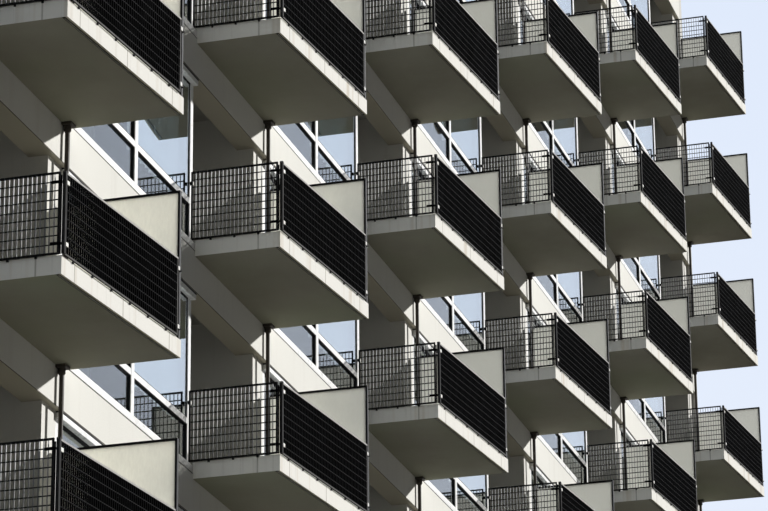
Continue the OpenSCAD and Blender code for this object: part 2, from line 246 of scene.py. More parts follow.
sun_flat = SUN_PLAN.normalized() * math.cos(SUN_HEIGHT)
sun = sun_lamp("sun", Vector((sun_flat.x, sun_flat.y, math.sin(SUN_HEIGHT))), SUN_STRENGTH, SUN_WIDTH)
sun.data.color = SUN_COLOUR
rear_sun = sun_lamp("rear_sky_light", REAR_DIRECTION, REAR_STRENGTH, REAR_WIDTH)
print("sun lamps:", sun.name, rear_sun.name)

# %% [markdown]
# ## Small tools for materials
# A node material is a graph of small sums. Written out one node and one link at a time it
# is hard to read, so a few helpers make a node and join it up in one call: a sum, a change of
# range, a mix of two colours, a soft noise and a bump. Noise is always laid out by a point's
# place in metres, so that a grain has its real size on every piece.

# %% Tools for node materials
def node(tree, kind, inputs=None, **settings):
    """A shader node with its settings. An input takes a value or the socket that feeds it."""
    made = tree.nodes.new("ShaderNode" + kind)
    for name, value in settings.items():
        setattr(made, name, value)
    for name, value in (inputs or {}).items():
        if isinstance(value, bpy.types.NodeSocket):
            tree.links.new(value, made.inputs[name])
        else:
            made.inputs[name].default_value = value
    return made


def maths(tree, way, first, second=0.0, clamp=False):
    """The result of a sum with two numbers or sockets."""
    return node(tree, "Math", {0: first, 1: second}, operation=way, use_clamp=clamp).outputs[0]


def ranged(tree, value, low, high, to_low=0.0, to_high=1.0):
    """The value, with low to high spread over to_low to to_high."""
    ends = {"Value": value, "From Min": low, "From Max": high, "To Min": to_low, "To Max": to_high}
    return node(tree, "MapRange", ends).outputs[0]


def tinted(tree, factor, first, second, way="MIX"):
    """Two colours, mixed by the factor."""
    made = node(tree, "Mix", {0: factor, 6: first, 7: second}, data_type="RGBA", blend_type=way)
    return made.outputs[2]


def own_place(tree):
    """A point's place in the block's frame, in metres."""
    return node(tree, "TexCoord").outputs["Object"]


def cloud(tree, patches, detail=3.0, roughness=0.5):
    """Soft noise with so many patches to the metre along X, Y and Z."""
    scaled = node(tree, "Mapping", {"Vector": own_place(tree), "Scale": patches}).outputs[0]
    values = {"Vector": scaled, "Scale": 1.0, "Detail": detail, "Roughness": roughness}
    return node(tree, "TexNoise", values).outputs[0]


def bumped(tree, height, depth, under=None):
    """A normal for a surface whose height varies by depth metres."""
    values = {"Height": height, "Distance": depth, "Strength": 1.0}
    if under:
        values["Normal"] = under
    return node(tree, "Bump", values).outputs[0]


print("node tools ready")

# %% [markdown]
# ## The sky
# The open shade under the balconies is lit by the sky alone, so the world gives a weak, cool
# light, and a weaker one from the front, as in a street. What the glass mirrors and what
# stands behind the block is a pale sky, shown to the camera, to mirrors and through glass
# only, so that it adds no light to the walls. The floor needs the same test, so it is a
# helper of its own.

# %% World
SKY_LOW = (0.88, 0.92, 1.0, 1)
SKY_HIGH = (0.62, 0.74, 0.95, 1)
SHADE_LIGHT = (0.112, 0.119, 0.131, 1)
SHADE_LIGHT_FRONT = (0.018, 0.020, 0.023, 1)
SHADE_FRONT_FULL, SHADE_FRONT_END = -0.6, 0.1


def looked_at(tree):
    """1 for the camera's rays, for mirrored ones and for those through glass, and 0 for light."""
    path = node(tree, "LightPath")
    seen = maths(tree, "MAXIMUM", path.outputs["Is Camera Ray"], path.outputs["Is Glossy Ray"])
    return maths(tree, "MAXIMUM", seen, path.outputs["Is Transmission Ray"])


def sky():
    """A pale sky for the eye and for mirrors, and a weak cool light for everything else."""
    world = bpy.data.worlds.new("sky")
    world.use_nodes = True
    tree = world.node_tree
    tree.nodes.clear()
    direction = node(tree, "TexCoord").outputs["Generated"]
    outward, climb = node(tree, "SeparateXYZ", {0: direction}).outputs[1:]
    shown = tinted(tree, ranged(tree, climb, 0.0, 0.8), SKY_LOW, SKY_HIGH)
    from_front = ranged(tree, outward, SHADE_FRONT_FULL, SHADE_FRONT_END)
    shade = tinted(tree, from_front, SHADE_LIGHT_FRONT, SHADE_LIGHT)
    light = node(tree, "Background", {"Color": tinted(tree, looked_at(tree), shade, shown)})
    output = tree.nodes.new("ShaderNodeOutputWorld")
    tree.links.new(light.outputs[0], output.inputs[0])
    return world


bpy.context.scene.world = sky()
bpy.context.scene.view_settings.view_transform = "Standard"
print("world:", bpy.context.scene.world.name)

# %% [markdown]
# ## The floor
# The block stands on a plain pale floor. A wide pale floor in the sun would throw far more
# light up under the balconies than the dark ground does in a street, and their undersides
# would lose their depth. So the floor's paint is pale for the eye and for mirrors, and dark
# for the light that it passes on.

# %% Floor
FLOOR_HALF = 900
FLOOR_DROP = 0.002
FLOOR_PALE = (0.72, 0.72, 0.71, 1)
FLOOR_SPECK = (0.6, 0.6, 0.6, 1)
FLOOR_BOUNCE = (0.042, 0.037, 0.027, 1)


def floor_paint():
    """Matt paint, pale to look at, dark as a source of light."""
    paint = bpy.data.materials.new("floor_paint")
    paint.use_nodes = True
    tree = paint.node_tree
    specks = ranged(tree, cloud(tree, (3, 3, 3)), 0.3, 0.7, 0.0, 0.05)
    speckle = tinted(tree, specks, FLOOR_PALE, FLOOR_SPECK)
    shader = tree.nodes["Principled BSDF"]
    shader.inputs["Roughness"].default_value = 0.9
    tree.links.new(tinted(tree, looked_at(tree), FLOOR_BOUNCE, speckle), shader.inputs["Base Color"])
    return paint


floor_mesh = bpy.data.meshes.new("floor")
turns = ((-1, -1), (1, -1), (1, 1), (-1, 1))
floor_corners = [(x * FLOOR_HALF, y * FLOOR_HALF, 0) for x, y in turns]
floor_mesh.from_pydata(floor_corners, [], [(0, 1, 2, 3)])
floor_mesh.materials.append(floor_paint())
floor = bpy.data.objects.new("floor", floor_mesh)
floor.location.z = -FLOOR_DROP
bpy.context.scene.collection.objects.link(floor)
print("floor laid,", 2 * FLOOR_HALF, "m wide")

# %% [markdown]
# ## Painted concrete
# Beams, piers, balconies and walls are concrete under white emulsion. New paint is even, but
# weather leaves three marks: a slow change of tone from patch to patch, thin runs of dirt
# that follow the rain down, and a fine grain. All three are noise, stretched in different
# directions: patches are round, runs are narrow and tall, grain is small. One function makes
# every painted wall, with its own colour and its own strength of dirt. Faces that look down
# are bare concrete, darkened further as painted shade, and the Geometry node's normal finds them.

# %% Paint for walls
WALL_DIRT = (0.42, 0.38, 0.31, 1)
JOINT_DARK = (0.10, 0.09, 0.08, 1)
# Bare concrete for faces that look down, made darker as painted shade.
UNDERSIDE_BARE_AND_SHADED = (0.46, 0.43, 0.35, 1)


def facing_up(tree):
    """How far a face looks up: 1 on tops, 0 on walls, minus 1 on undersides."""
    return node(tree, "SeparateXYZ", {0: node(tree, "NewGeometry").outputs["True Normal"]}).outputs[2]


def wall_paint(name, colour, runs, patches, joints=None):
    """Emulsion on concrete: tone patches, dirt runs, fine grain, joints, and a bare underside darkened
    as painted shade.
    """
    paint = bpy.data.materials.new(name)
    paint.use_nodes = True
    tree = paint.node_tree
    shader = tree.nodes["Principled BSDF"]
    shader.inputs["Specular IOR Level"].default_value = 0.04
    tone = ranged(tree, cloud(tree, (0.9, 0.9, 1.3), 4), 0.35, 0.7, 0.0, patches)
    base = tinted(tree, tone, colour, WALL_DIRT)
    run = ranged(tree, cloud(tree, (14, 14, 0.5), 3, 0.6), 0.56, 0.80, 0.0, runs)
    base = tinted(tree, run, base, WALL_DIRT)
    grain = cloud(tree, (90, 90, 90), 3, 0.6)
    base = tinted(tree, ranged(tree, grain, 0.3, 0.7, 0.0, 0.06), base, WALL_DIRT)
    if joints:
        base = tinted(tree, joints(tree), base, JOINT_DARK)
    base = tinted(tree, maths(tree, "LESS_THAN", facing_up(tree), -0.5), base, UNDERSIDE_BARE_AND_SHADED)
    tree.links.new(base, shader.inputs["Base Color"])
    tree.links.new(ranged(tree, grain, 0.3, 0.7, 0.55, 0.8), shader.inputs["Roughness"])
    ripple = bumped(tree, cloud(tree, (3, 3, 3), 2), 0.004)
    tree.links.new(bumped(tree, grain, 0.0008, ripple), shader.inputs["Normal"])
    return paint


print("wall paint ready, with undersides of", UNDERSIDE_BARE_AND_SHADED[:3])

# %% [markdown]
# ## Joints in the walls
# The facade's beams have an open joint beside each pier, a dark line runs along their lower
# edges, and the end walls show a joint at every floor. They are thin lines that repeat with the
# bays and the storeys. Ping-pong maths folds a coordinate back and forth, so its low values lie
# on such lines, and no geometry is needed.

# %% Joints and the wall paints
SPANDREL_JOINT, SPANDREL_JOINT_W = 0.02, 0.011
BEAM_EDGE_W = 0.012
STOREY_JOINT_W = 0.008
beam_low_z = min(v.co.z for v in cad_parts["facade_beams"].data.vertices)


def line_across(tree, axis, start, step, width):
    """1 on thin lines that repeat every step metres along the axis, and 0 between them."""
    value = node(tree, "SeparateXYZ", {0: own_place(tree)}).outputs[axis]
    turns = maths(tree, "DIVIDE", maths(tree, "SUBTRACT", value, start), step)
    apart = maths(tree, "PINGPONG", turns, 0.5)
    return maths(tree, "LESS_THAN", apart, width / step / 2)


def beam_joints(tree):
    """The joint between a pier and the next bay's beam, and a dark line along the beams' lower edges.
    """
    upright = line_across(tree, 0, first_x + SPANDREL_JOINT, bay_l, SPANDREL_JOINT_W)
    level = line_across(tree, 2, beam_low_z, storey_h, BEAM_EDGE_W)
    return maths(tree, "MAXIMUM", upright, level)


def storey_joints(tree):
    """A joint in the end walls at every floor."""
    return line_across(tree, 2, ground_floor_z, storey_h, STOREY_JOINT_W)


FACADE_WHITE = (0.76, 0.755, 0.72, 1)
# The end walls are painted greyer than the facade so that the one facing the low sun is not burnt out:
# painted shade.
END_WALL_SHADED_GREY = (0.62, 0.615, 0.59, 1)
REAR_WALL_GREY = (0.66, 0.655, 0.63, 1)
# The recess walls are painted nearly black: painted shade for the deep shade inside the recesses.
RECESS_PAINTED_SHADE = (0.10, 0.097, 0.082, 1)
facade_paint = wall_paint("facade_paint", FACADE_WHITE, 0.16, 0.07, joints=beam_joints)
pier_paint = wall_paint("pier_paint", FACADE_WHITE, 0.18, 0.08)
end_wall_paint = wall_paint("end_wall_paint", END_WALL_SHADED_GREY, 0.35, 0.18, joints=storey_joints)
rear_wall_paint = wall_paint("rear_wall_paint", REAR_WALL_GREY, 0.35, 0.18)
recess_shade_paint = wall_paint("recess_shade_paint", RECESS_PAINTED_SHADE, 0.10, 0.12)
print("wall paints:", facade_paint.name, pier_paint.name, end_wall_paint.name, recess_shade_paint.name)

# %% [markdown]
# ## A point's place on its balcony
# The joints and the groove of a balcony, and the faded fronts of its railing, follow the
# slanting edge. So their paints need a point's place along that edge and its distance from it.
# Both are sums of the point's X within its bay and its Y, each times a share that the edge's
# angle gives.

# %% Along and across the slanting edge
def from_corner(tree):
    """A point's X and Y from the near outer corner of the balcony in its bay."""
    x, y = node(tree, "SeparateXYZ", {0: own_place(tree)}).outputs[:2]
    in_bay = maths(tree, "MODULO", maths(tree, "SUBTRACT", x, first_x), bay_l)
    return (
        maths(tree, "SUBTRACT", in_bay, corner_near.x),
        maths(tree, "SUBTRACT", y, facade_y + corner_near.y),
    )


def turned_sum(tree, first, second, x_share, y_share):
    """The two values, each times its share, added."""
    first_part = maths(tree, "MULTIPLY", first, x_share)
    return maths(tree, "ADD", first_part, maths(tree, "MULTIPLY", second, y_share))


def along_edge(tree, x, y):
    """How far along the slanting edge a point lies."""
    return turned_sum(tree, x, y, math.cos(edge_angle), math.sin(edge_angle))


def inside_edge(tree, x, y):
    """How far inside the slanting edge a point lies."""
    return turned_sum(tree, x, y, -math.sin(edge_angle), math.cos(edge_angle))


print("slanting edge turned by", round(math.degrees(edge_angle), 2), "degrees")

# %% [markdown]
# ## The balcony slabs' paint
# The edges of a balcony are white, with a few rusty runs where rain comes over, and dark
# joints. Underneath, the slab is bare weathered concrete, warmer than its edge and made darker
# as painted shade, with a drip groove darkened as dirt and painted shade, and a lighter strip
# outside it, where the edge's paint was drawn round the corner. The top is bare concrete too.
# One material can hold them all, because the direction that a face looks in tells them apart.

# %% White edges
FRONT_JOINT, FRONT_JOINT_STEP = 0.145, 0.56
END_JOINT = 0.139
JOINT_HALF, JOINT_FADE, JOINT_STRENGTH = 0.003, 0.006, 0.5
EDGE_WHITE = (0.87, 0.86, 0.82, 1)
EDGE_RUST = (0.50, 0.40, 0.27, 1)
EDGE_DIRT = (0.35, 0.33, 0.29, 1)
EDGE_JOINT = (0.16, 0.14, 0.10, 1)


def slab_joints(tree, x, y):
    """How strongly the joints of the front edge and of the near end show at a point."""
    from_joint = maths(tree, "SUBTRACT", along_edge(tree, x, y), FRONT_JOINT)
    turns = maths(tree, "DIVIDE", from_joint, FRONT_JOINT_STEP)
    front = maths(tree, "MULTIPLY", maths(tree, "PINGPONG", turns, 0.5), FRONT_JOINT_STEP)
    end = maths(tree, "ABSOLUTE", maths(tree, "SUBTRACT", y, END_JOINT))
    nearest = maths(tree, "MINIMUM", front, end)
    return ranged(tree, nearest, JOINT_HALF, JOINT_FADE, JOINT_STRENGTH, 0.0)


def edge_colour(tree, x, y):
    """White paint with rusty runs, fine dirt and joints."""
    run = ranged(tree, cloud(tree, (10, 10, 0.15), 2, 0.6), 0.58, 0.72, 0.0, 0.42)
    edge = tinted(tree, run, EDGE_WHITE, EDGE_RUST)
    fine = ranged(tree, cloud(tree, (45, 45, 1.5), 2, 0.6), 0.58, 0.75, 0.0, 0.2)
    edge = tinted(tree, fine, edge, EDGE_DIRT)
    return tinted(tree, slab_joints(tree, x, y), edge, EDGE_JOINT)


print("joints on a front edge:", int((edge_l - FRONT_JOINT) / FRONT_JOINT_STEP) + 1)

# %% Undersides, weathered and in painted shade
GROOVE_INSET, GROOVE_W = 0.018, 0.008
GROOVE_DARK_FULL, GROOVE_DARK_END = 0.006, 0.011
DRAWN_ROUND_FADE = 0.004
# Bare concrete under the slab, made darker as painted shade.
UNDER_CONCRETE_SHADED = (0.36, 0.345, 0.285, 1)
UNDER_STAIN = (0.26, 0.25, 0.195, 1)
UNDER_DAMP = (0.33, 0.345, 0.25, 1)
UNDER_PAINT = (0.60, 0.56, 0.44, 1)
# The groove's near-black is dirt and painted shade in the groove.
GROOVE_SOIL_AND_SHADE = (0.02, 0.018, 0.014, 1)


def under_colour(tree, stain, inside):
    """Stained concrete darkened as painted shade, damp patches, a groove darkened as dirt and painted
    shade, and a lighter strip outside it.
    """
    under = tinted(tree, stain, UNDER_CONCRETE_SHADED, UNDER_STAIN)
    damp = ranged(tree, cloud(tree, (0.9, 0.9, 0.9), 3), 0.42, 0.66, 0.0, 0.7)
    under = tinted(tree, damp, under, UNDER_DAMP)
    drawn_round = ranged(tree, inside, GROOVE_INSET - DRAWN_ROUND_FADE, GROOVE_INSET, 0.9, 0.0)
    under = tinted(tree, drawn_round, under, UNDER_PAINT)
    off_groove = maths(tree, "ABSOLUTE", maths(tree, "SUBTRACT", inside, GROOVE_INSET + GROOVE_W / 2))
    groove_dark = ranged(tree, off_groove, GROOVE_DARK_FULL, GROOVE_DARK_END, 0.95, 0.0)
    return tinted(tree, groove_dark, under, GROOVE_SOIL_AND_SHADE)


print("drip groove", GROOVE_INSET, "m inside the edge,", GROOVE_W, "m wide")

# %% Slab paint
TOP_CONCRETE = (0.44, 0.43, 0.40, 1)
TOP_STAIN = (0.33, 0.32, 0.29, 1)


def slab_paint():
    """White edges, a weathered underside and a bare top in one material."""
    paint = bpy.data.materials.new("slab_paint")
    paint.use_nodes = True
    tree = paint.node_tree
    shader = tree.nodes["Principled BSDF"]
    shader.inputs["Specular IOR Level"].default_value = 0.02
    x, y = from_corner(tree)
    stain = ranged(tree, cloud(tree, (2.2, 2.2, 2.2), 5, 0.6), 0.35, 0.7, 0.0, 0.5)
    bare_top = tinted(tree, stain, TOP_CONCRETE, TOP_STAIN)
    facing = facing_up(tree)
    sides = tinted(tree, maths(tree, "GREATER_THAN", facing, 0.5), edge_colour(tree, x, y), bare_top)
    under = under_colour(tree, stain, inside_edge(tree, x, y))
    below = maths(tree, "LESS_THAN", facing, -0.5)
    tree.links.new(tinted(tree, below, sides, under), shader.inputs["Base Color"])
    grain = cloud(tree, (110, 110, 110), 3, 0.6)
    tree.links.new(ranged(tree, grain, 0.3, 0.7, 0.6, 0.85), shader.inputs["Roughness"])
    tree.links.new(bumped(tree, grain, 0.001), shader.inputs["Normal"])
    return paint


balcony_paint = slab_paint()
print("balcony paint:", balcony_paint.name)

# %% [markdown]
# ## Bare concrete
# The plinth, the floors and the top of the roof slab are concrete or bitumen felt. They share
# one recipe: a mottled colour, dark pores and a rough, matt face. The pores come from a
# Voronoi texture, whose distance is smallest at scattered points.

# %% Concrete and felt
PORE_DARK = (0.03, 0.03, 0.03, 1)


def mottled(name, colour, dark, pores, grain_size):
    """A rough mineral surface with pores."""
    made = bpy.data.materials.new(name)
    made.use_nodes = True
    tree = made.node_tree
    shader = tree.nodes["Principled BSDF"]
    base = tinted(tree, ranged(tree, cloud(tree, (1.5, 1.5, 1.5), 5, 0.65), 0.3, 0.75), colour, dark)
    cells = node(tree, "TexVoronoi", {"Vector": own_place(tree), "Scale": grain_size})
    spots = cells.outputs["Distance"]
    pore = ranged(tree, spots, 0.0, 0.22, pores, 0.0)
    tree.links.new(tinted(tree, pore, base, PORE_DARK), shader.inputs["Base Color"])
    uneven_gloss = ranged(tree, cloud(tree, (40, 40, 40)), 0.3, 0.7, 0.75, 0.95)
    tree.links.new(uneven_gloss, shader.inputs["Roughness"])
    tree.links.new(bumped(tree, spots, 0.002), shader.inputs["Normal"])
    return made


floor_concrete = mottled("floor_concrete", (0.46, 0.45, 0.42, 1), (0.34, 0.33, 0.30, 1), 0.3, 60)
plinth_concrete = mottled("plinth_concrete", (0.36, 0.35, 0.32, 1), (0.24, 0.23, 0.21, 1), 0.5, 40)
roof_felt = mottled("roof_felt", (0.17, 0.17, 0.175, 1), (0.11, 0.11, 0.115, 1), 0.4, 150)
print("mineral surfaces:", floor_concrete.name, plinth_concrete.name, roof_felt.name)

# %% [markdown]
# ## Black railing paint
# Rails, rods and bars are steel under black enamel. On the railings' fronts it is painted pale
# as a painted highlight of the low sun's glint, most of all on the top rails, and it is nearly
# black on all other sides. A mask finds those outer faces by their distance from the slanting edge.

# %% Painted glint on the fronts
RAIL_W, RAIL_OUT = 0.010, 0.013
GLINT_PALE = (0.42, 0.41, 0.40, 1)
GLINT_SHARE = 0.15
HAIR = 0.0005


def glint_faces(tree):
    """The painted highlight's mask: 1 on the outer faces of the front railings' top rails, a small
    share on their other bars.
    """
    inside = inside_edge(tree, *from_corner(tree))
    off_face = maths(tree, "ABSOLUTE", maths(tree, "ADD", inside, RAIL_OUT))
    outer = maths(tree, "LESS_THAN", off_face, HAIR)
    z = node(tree, "SeparateXYZ", {0: own_place(tree)}).outputs[2]
    over_floor = maths(tree, "MODULO", maths(tree, "SUBTRACT", z, ground_floor_z), storey_h)
    top = maths(tree, "GREATER_THAN", over_floor, rail_top - RAIL_W - HAIR)
    return maths(tree, "MULTIPLY", outer, ranged(tree, top, 0.0, 1.0, GLINT_SHARE, 1.0))


# The pale fronts are a painted highlight of the low sun's glint.
print("fronts fade", RAIL_OUT, "m outside the edge")

# %% [markdown]
# ## Enamel and other coats
# Every coat on metal, plastic or wood is one recipe: a colour, a worn colour in soft patches,
# a roughness that the patches vary, and a fine uneven face. The number shine sets how much
# the coat mirrors when it is looked at squarely. The railing's rods mirror little, and the bars
# at the near end much, so that the low sun turns their broad sides light grey. The upright bars
# have one black paint in two copies: a darker, duller one on the front bars as painted shade,
# and a lighter, glossier one on the near bars as a painted highlight.

# %% Coats
def enamel(name, colour, worn, roughness, dust, grain=160, shine=0.5, painted_glint=None):
    """Paint on metal: a coat with dust and slight wear, a painted highlight where told, and a fine
    uneven face.
    """
    coat = bpy.data.materials.new(name)
    coat.use_nodes = True
    tree = coat.node_tree
    shader = tree.nodes["Principled BSDF"]
    shader.inputs["Specular IOR Level"].default_value = shine
    patch = cloud(tree, (12, 12, 12), 4, 0.6)
    base = tinted(tree, ranged(tree, patch, 0.45, 0.8, 0.0, dust), colour, worn)
    # Painted highlight: the faces that the mask tells are mixed towards pale grey.
    if painted_glint:
        base = tinted(tree, painted_glint(tree), base, GLINT_PALE)
    tree.links.new(base, shader.inputs["Base Color"])
    dulled = ranged(tree, patch, 0.3, 0.75, roughness - 0.06, roughness + 0.14)
    tree.links.new(dulled, shader.inputs["Roughness"])
    tree.links.new(bumped(tree, cloud(tree, (grain, grain, grain), 2), 0.0004), shader.inputs["Normal"])
    return coat


BLACK = (0.010, 0.010, 0.011, 1)
BLACK_WORN = (0.03, 0.028, 0.025, 1)
# The darker, duller copy of the black, for the front bars and the straps: painted shade.
SHADED_BLACK = (0.004, 0.004, 0.0045, 1)
SHADED_BLACK_WORN = (0.008, 0.008, 0.007, 1)
# The lighter, glossier copy of the same black, for the near bars: painted highlight.
SUNLIT_BLACK = (0.02, 0.02, 0.021, 1)
GASKET = (0.014, 0.014, 0.015, 1)
GASKET_WORN = (0.03, 0.03, 0.03, 1)
railing_black = enamel("railing_black", BLACK, BLACK_WORN, 0.5, 0.5, shine=0.02, painted_glint=glint_faces)
bar_black_shaded = enamel("bar_black_shaded", SHADED_BLACK, SHADED_BLACK_WORN, 0.6, 0.4, shine=0.004)
bar_black_sunlit = enamel("bar_black_sunlit", SUNLIT_BLACK, BLACK_WORN, 0.42, 0.5, shine=1.0)
screen_black = enamel("screen_black", BLACK, BLACK_WORN, 0.5, 0.5, shine=0.08)
# The plates' pale zinc is the lit copy of the clamp metal: painted light.
plate_zinc_sunlit = enamel("plate_zinc_sunlit", (0.60, 0.59, 0.56, 1), (0.42, 0.38, 0.33, 1), 0.5, 0.6, 60, shine=0.3)
PIPE_BROWN = (0.055, 0.047, 0.039, 1)
PIPE_WORN = (0.10, 0.085, 0.072, 1)
pipe_brown = enamel("pipe_brown", PIPE_BROWN, PIPE_WORN, 0.5, 0.6, shine=0.15)
door_pane = enamel("door_pane", (0.02, 0.024, 0.027, 1), (0.05, 0.05, 0.05, 1), 0.12, 0.2)
door_grey = enamel("door_grey", (0.11, 0.13, 0.14, 1), (0.2, 0.2, 0.19, 1), 0.4, 0.4)
frame_white = enamel("frame_white", (0.88, 0.88, 0.87, 1), (0.6, 0.59, 0.55, 1), 0.28, 0.3, shine=0.5)
gasket_black = enamel("gasket_black", GASKET, GASKET_WORN, 0.6, 0.3, shine=0.1)
coping_zinc = enamel("coping_zinc", (0.42, 0.43, 0.44, 1), (0.26, 0.27, 0.28, 1), 0.5, 0.8, 60)
coping_zinc.node_tree.nodes["Principled BSDF"].inputs["Metallic"].default_value = 0.8
print("coats:", railing_black.name, pipe_brown.name, frame_white.name, coping_zinc.name)

# %% [markdown]
# ## The screens' boards
# At the far end of each balcony stands a board in a black frame. The sun strikes it from
# behind, and yet its shaded side is bright: the board lets light through. A Translucent
# shader passes light on to the other side, and a share of it beside the ordinary paint gives
# that glow. Its tone falls off towards the board's outer edge as painted shade, and the boards
# of the farther bays are greyer.

# %% Screen board
BOARD_CLEAR = 0.85
BOARD_PALE = (0.88, 0.86, 0.78, 1)
BOARD_GREY_AND_SHADE = (0.56, 0.56, 0.53, 1)
BOARD_FIBRES = (0.52, 0.50, 0.47, 1)
OUTER_SHADE, BAY_GREYING = 0.4, 0.7


def screen_board_material():
    """A pale board that lets some light through."""
    made = bpy.data.materials.new("screen_board")
    made.use_nodes = True
    tree = made.node_tree
    front = tree.nodes["Principled BSDF"]
    mottle = ranged(tree, cloud(tree, (1.6, 1.6, 1.6), 4, 0.6), 0.3, 0.75, 0.0, 0.5)
    along_block, outward = node(tree, "SeparateXYZ", {0: own_place(tree)}).outputs[:2]
    # Painted shade: the board greys towards its outer edge.
    shadier = ranged(tree, outward, facade_y, facade_y + corner_far.y, 0.0, OUTER_SHADE)
    farther_greyer = ranged(tree, along_block, first_x + bay_l, first_x + 3 * bay_l, 0.0, BAY_GREYING)
    tone = maths(tree, "ADD", maths(tree, "ADD", mottle, shadier), farther_greyer, clamp=True)
    colour = tinted(tree, tone, BOARD_PALE, BOARD_GREY_AND_SHADE)
    fibres = ranged(tree, cloud(tree, (70, 70, 22), 3, 0.7), 0.35, 0.65, 0.0, 0.22)
    colour = tinted(tree, fibres, colour, BOARD_FIBRES)
    tree.links.new(colour, front.inputs["Base Color"])
    matt = ranged(tree, cloud(tree, (60, 60, 60)), 0.3, 0.7, 0.6, 0.8)
    tree.links.new(matt, front.inputs["Roughness"])
    tree.links.new(bumped(tree, cloud(tree, (150, 150, 150), 2), 0.0003), front.inputs["Normal"])
    through = node(tree, "BsdfTranslucent", {"Color": colour}).outputs[0]
    both = node(tree, "MixShader", {0: BOARD_CLEAR, 1: front.outputs[0], 2: through}).outputs[0]
    tree.links.new(both, tree.nodes["Material Output"].inputs["Surface"])
    return made


screen_board = screen_board_material()
print("board:", screen_board.name)

# %% [markdown]
# ## Glass
# The panes are seen from a low angle, and so they act mostly as mirrors of the sky. A
# glass shader gives that by itself: the share that it mirrors grows as the view grazes it.
# Real panes are never quite flat, so a long, very shallow wave bends the mirrored bars a
# little. Lamps can't shine through a glass shader, so for their rays the pane is clear.

# %% Window glass
PANE_TINT = (0.86, 0.90, 0.92, 1)
PANE_TINT_DEEPER = (0.80, 0.86, 0.89, 1)
LAMP_TINT = (0.8, 0.84, 0.86, 1)
PANE_IOR = 1.65


def pane_glass(name, coating):
    """Smooth glass with a slight wave and a share of metal coating, clear for the light of lamps."""
    made = bpy.data.materials.new(name)
    made.use_nodes = True
    tree = made.node_tree
    pane = tree.nodes["Principled BSDF"]
    pane.inputs["Transmission Weight"].default_value = 1.0
    pane.inputs["IOR"].default_value = PANE_IOR
    pane.inputs["Metallic"].default_value = coating
    tint = tinted(tree, cloud(tree, (0.7, 0.7, 0.7), 2), PANE_TINT, PANE_TINT_DEEPER)
    tree.links.new(tint, pane.inputs["Base Color"])
    haze = ranged(tree, cloud(tree, (2, 2, 2), 3), 0.3, 0.7, 0.0, 0.02)
    tree.links.new(haze, pane.inputs["Roughness"])
    tree.links.new(bumped(tree, cloud(tree, (1.8, 1.8, 1.8), 1), 0.0004), pane.inputs["Normal"])
    clear = node(tree, "BsdfTransparent", {"Color": LAMP_TINT}).outputs[0]
    lamp_ray = node(tree, "LightPath").outputs["Is Shadow Ray"]
    both = node(tree, "MixShader", {0: lamp_ray, 1: pane.outputs[0], 2: clear}).outputs[0]
    tree.links.new(both, tree.nodes["Material Output"].inputs["Surface"])
    return made


window_glass = pane_glass("window_glass", 0.0)
coated_glass = pane_glass("coated_glass", 0.6)
print("glass:", window_glass.name, coated_glass.name)

# %% [markdown]
# ## Finishing the solids
# The solids keep their shapes, and each only takes its material. Many of them share the start
# of their names, such as the eleven floor slabs, so a table of those starts and their
# materials covers them all, and it is easier to read and to change than a chain of conditions.

# %% Assign the finishes
finishes = {
    "ground_slab": plinth_concrete,
    "floor_slab": floor_concrete,
    "roof_slab": roof_felt,
    "roof_parapet": end_wall_paint,
    "parapet_coping": coping_zinc,
    "end_wall": end_wall_paint,
    "facade_piers": pier_paint,
    "facade_beams": facade_paint,
    "window_glass": window_glass,
    "loggia_side_walls": recess_shade_paint,
    "loggia_back_walls": recess_shade_paint,
    "loggia_glass": window_glass,
    "balcony_slabs": balcony_paint,
    "railings": railing_black,
    "screen_frames": screen_black,
    "screen_panels": screen_board,
    "downpipes": pipe_brown,
    "rear_spandrels": rear_wall_paint,
    "rear_piers": rear_wall_paint,
    "rear_glass": window_glass,
    "entrance_doors": door_grey,
}
for name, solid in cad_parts.items():
    start = next(key for key in finishes if name.startswith(key))
    solid.data.materials.clear()
    solid.data.materials.append(finishes[start])
print("finishes given:", len(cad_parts))

# %% [markdown]
# ## The piers behind the beams
# A pier stands back a little behind the face of the beams, which run past it to the next bay.
# That step shows as a dark band under each beam, with the pier lit again below it. The piers
# among the solids are flush, so these stand for them: one post for each bay, and the ends of
# the beams across it.

# %% Piers and beam ends
PIER_BACK = 0.035
pier_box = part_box("facade_piers")
pier_x0 = pier_box[0].x - first_x
pier_x1 = pier_box[1].x - first_x - (bays - 1) * bay_l
pier_depth = pier_box[1].y - facade_y
beam_h = ground_floor_z + storey_h - beam_low_z
pier_foot = pier_box[0].z - ground_floor_z
pier_top = pier_box[1].z - ground_floor_z
post = boxes([((pier_x0, PIER_BACK, pier_foot), (pier_x1, pier_depth, pier_top))])
piers = piece("piers_set_back", copies(post, places([0])), pier_paint)
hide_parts("facade_piers")
beam_end = boxes([((pier_x0, 0, -beam_h), (pier_x1, PIER_BACK, 0))])
piece("beam_ends", copies(beam_end, places(range(1, storeys + 1))), facade_paint)
print("piers:", bays, "beams", round(beam_h, 3), "high")

# %% [markdown]
# ## The railings' upright bars
# Each railing is a welded grid. Its rods and rails are solids already, and the upright flat
# bars are added here: about seventy-five on a balcony and five thousand in all. They are thin
# and deep and stand edge on, so that the front railing closes up when it is seen aslant. One
# balcony's bars are built in the frame of their railing, turned to the slab's edge, and copied
# to the storeys of each bay.

